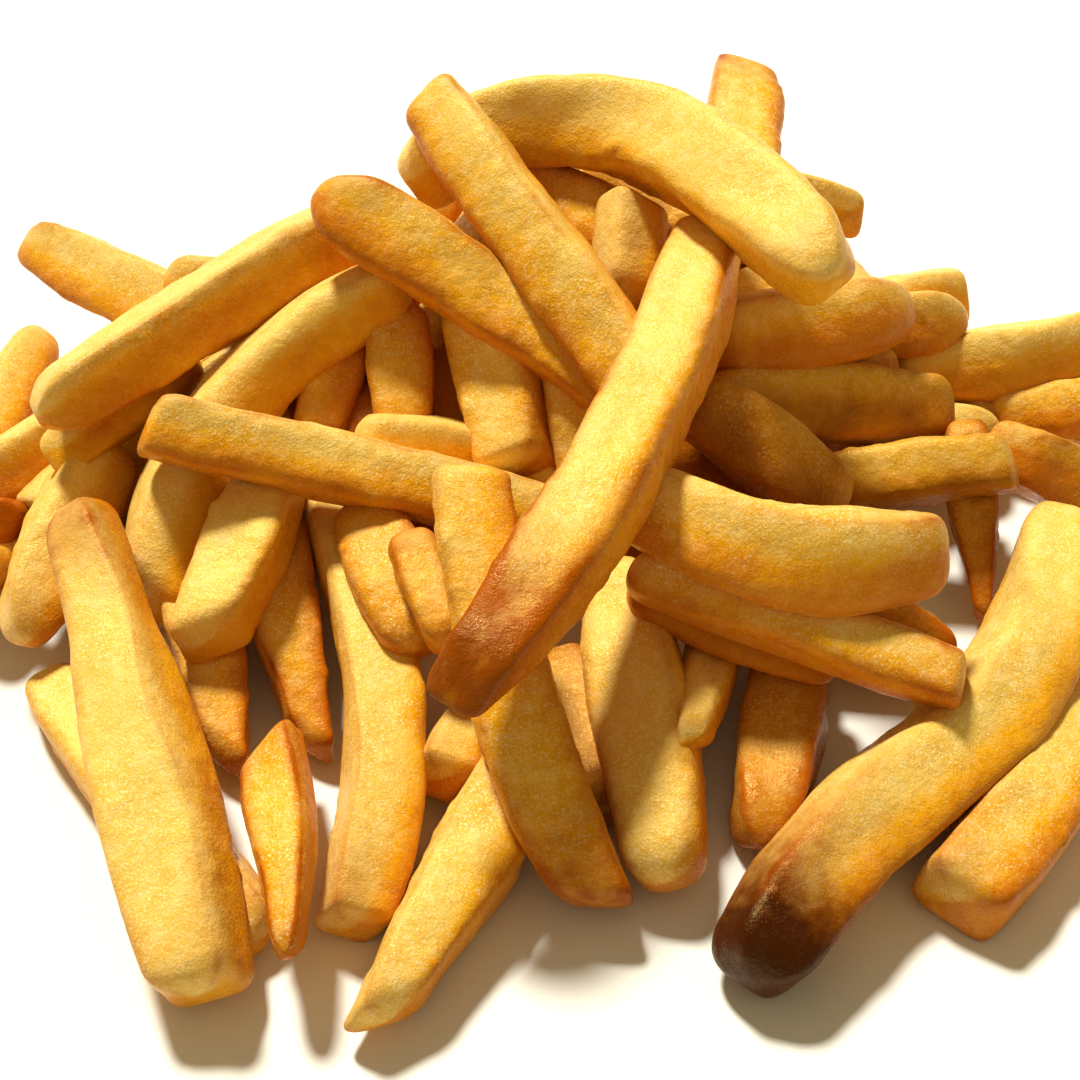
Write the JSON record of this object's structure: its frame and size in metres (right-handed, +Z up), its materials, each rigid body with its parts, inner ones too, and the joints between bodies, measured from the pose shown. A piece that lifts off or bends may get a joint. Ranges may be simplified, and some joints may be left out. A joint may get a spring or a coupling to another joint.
{
  "type": "heap of french fries",
  "caption": "Loose heap of golden thick-cut french fries as tipped out on a table, uneven in length, bend and shade, with no carton or dish.",
  "frame": {"origin": "middle of the heap's bounding box across the table, at the level of the table", "axes": "+Z up from the table, +X to the right and +Y away from a viewer at the heap's front"},
  "size_m": [0.1716, 0.165, 0.0533],
  "materials": {
    "fried_potato": "golden fried potato, slightly oily and blistered, paler on top and browner at ends and edges"
  },
  "bodies": {
    "root": {"fries": "fried_potato"}
  },
  "joints": []
}
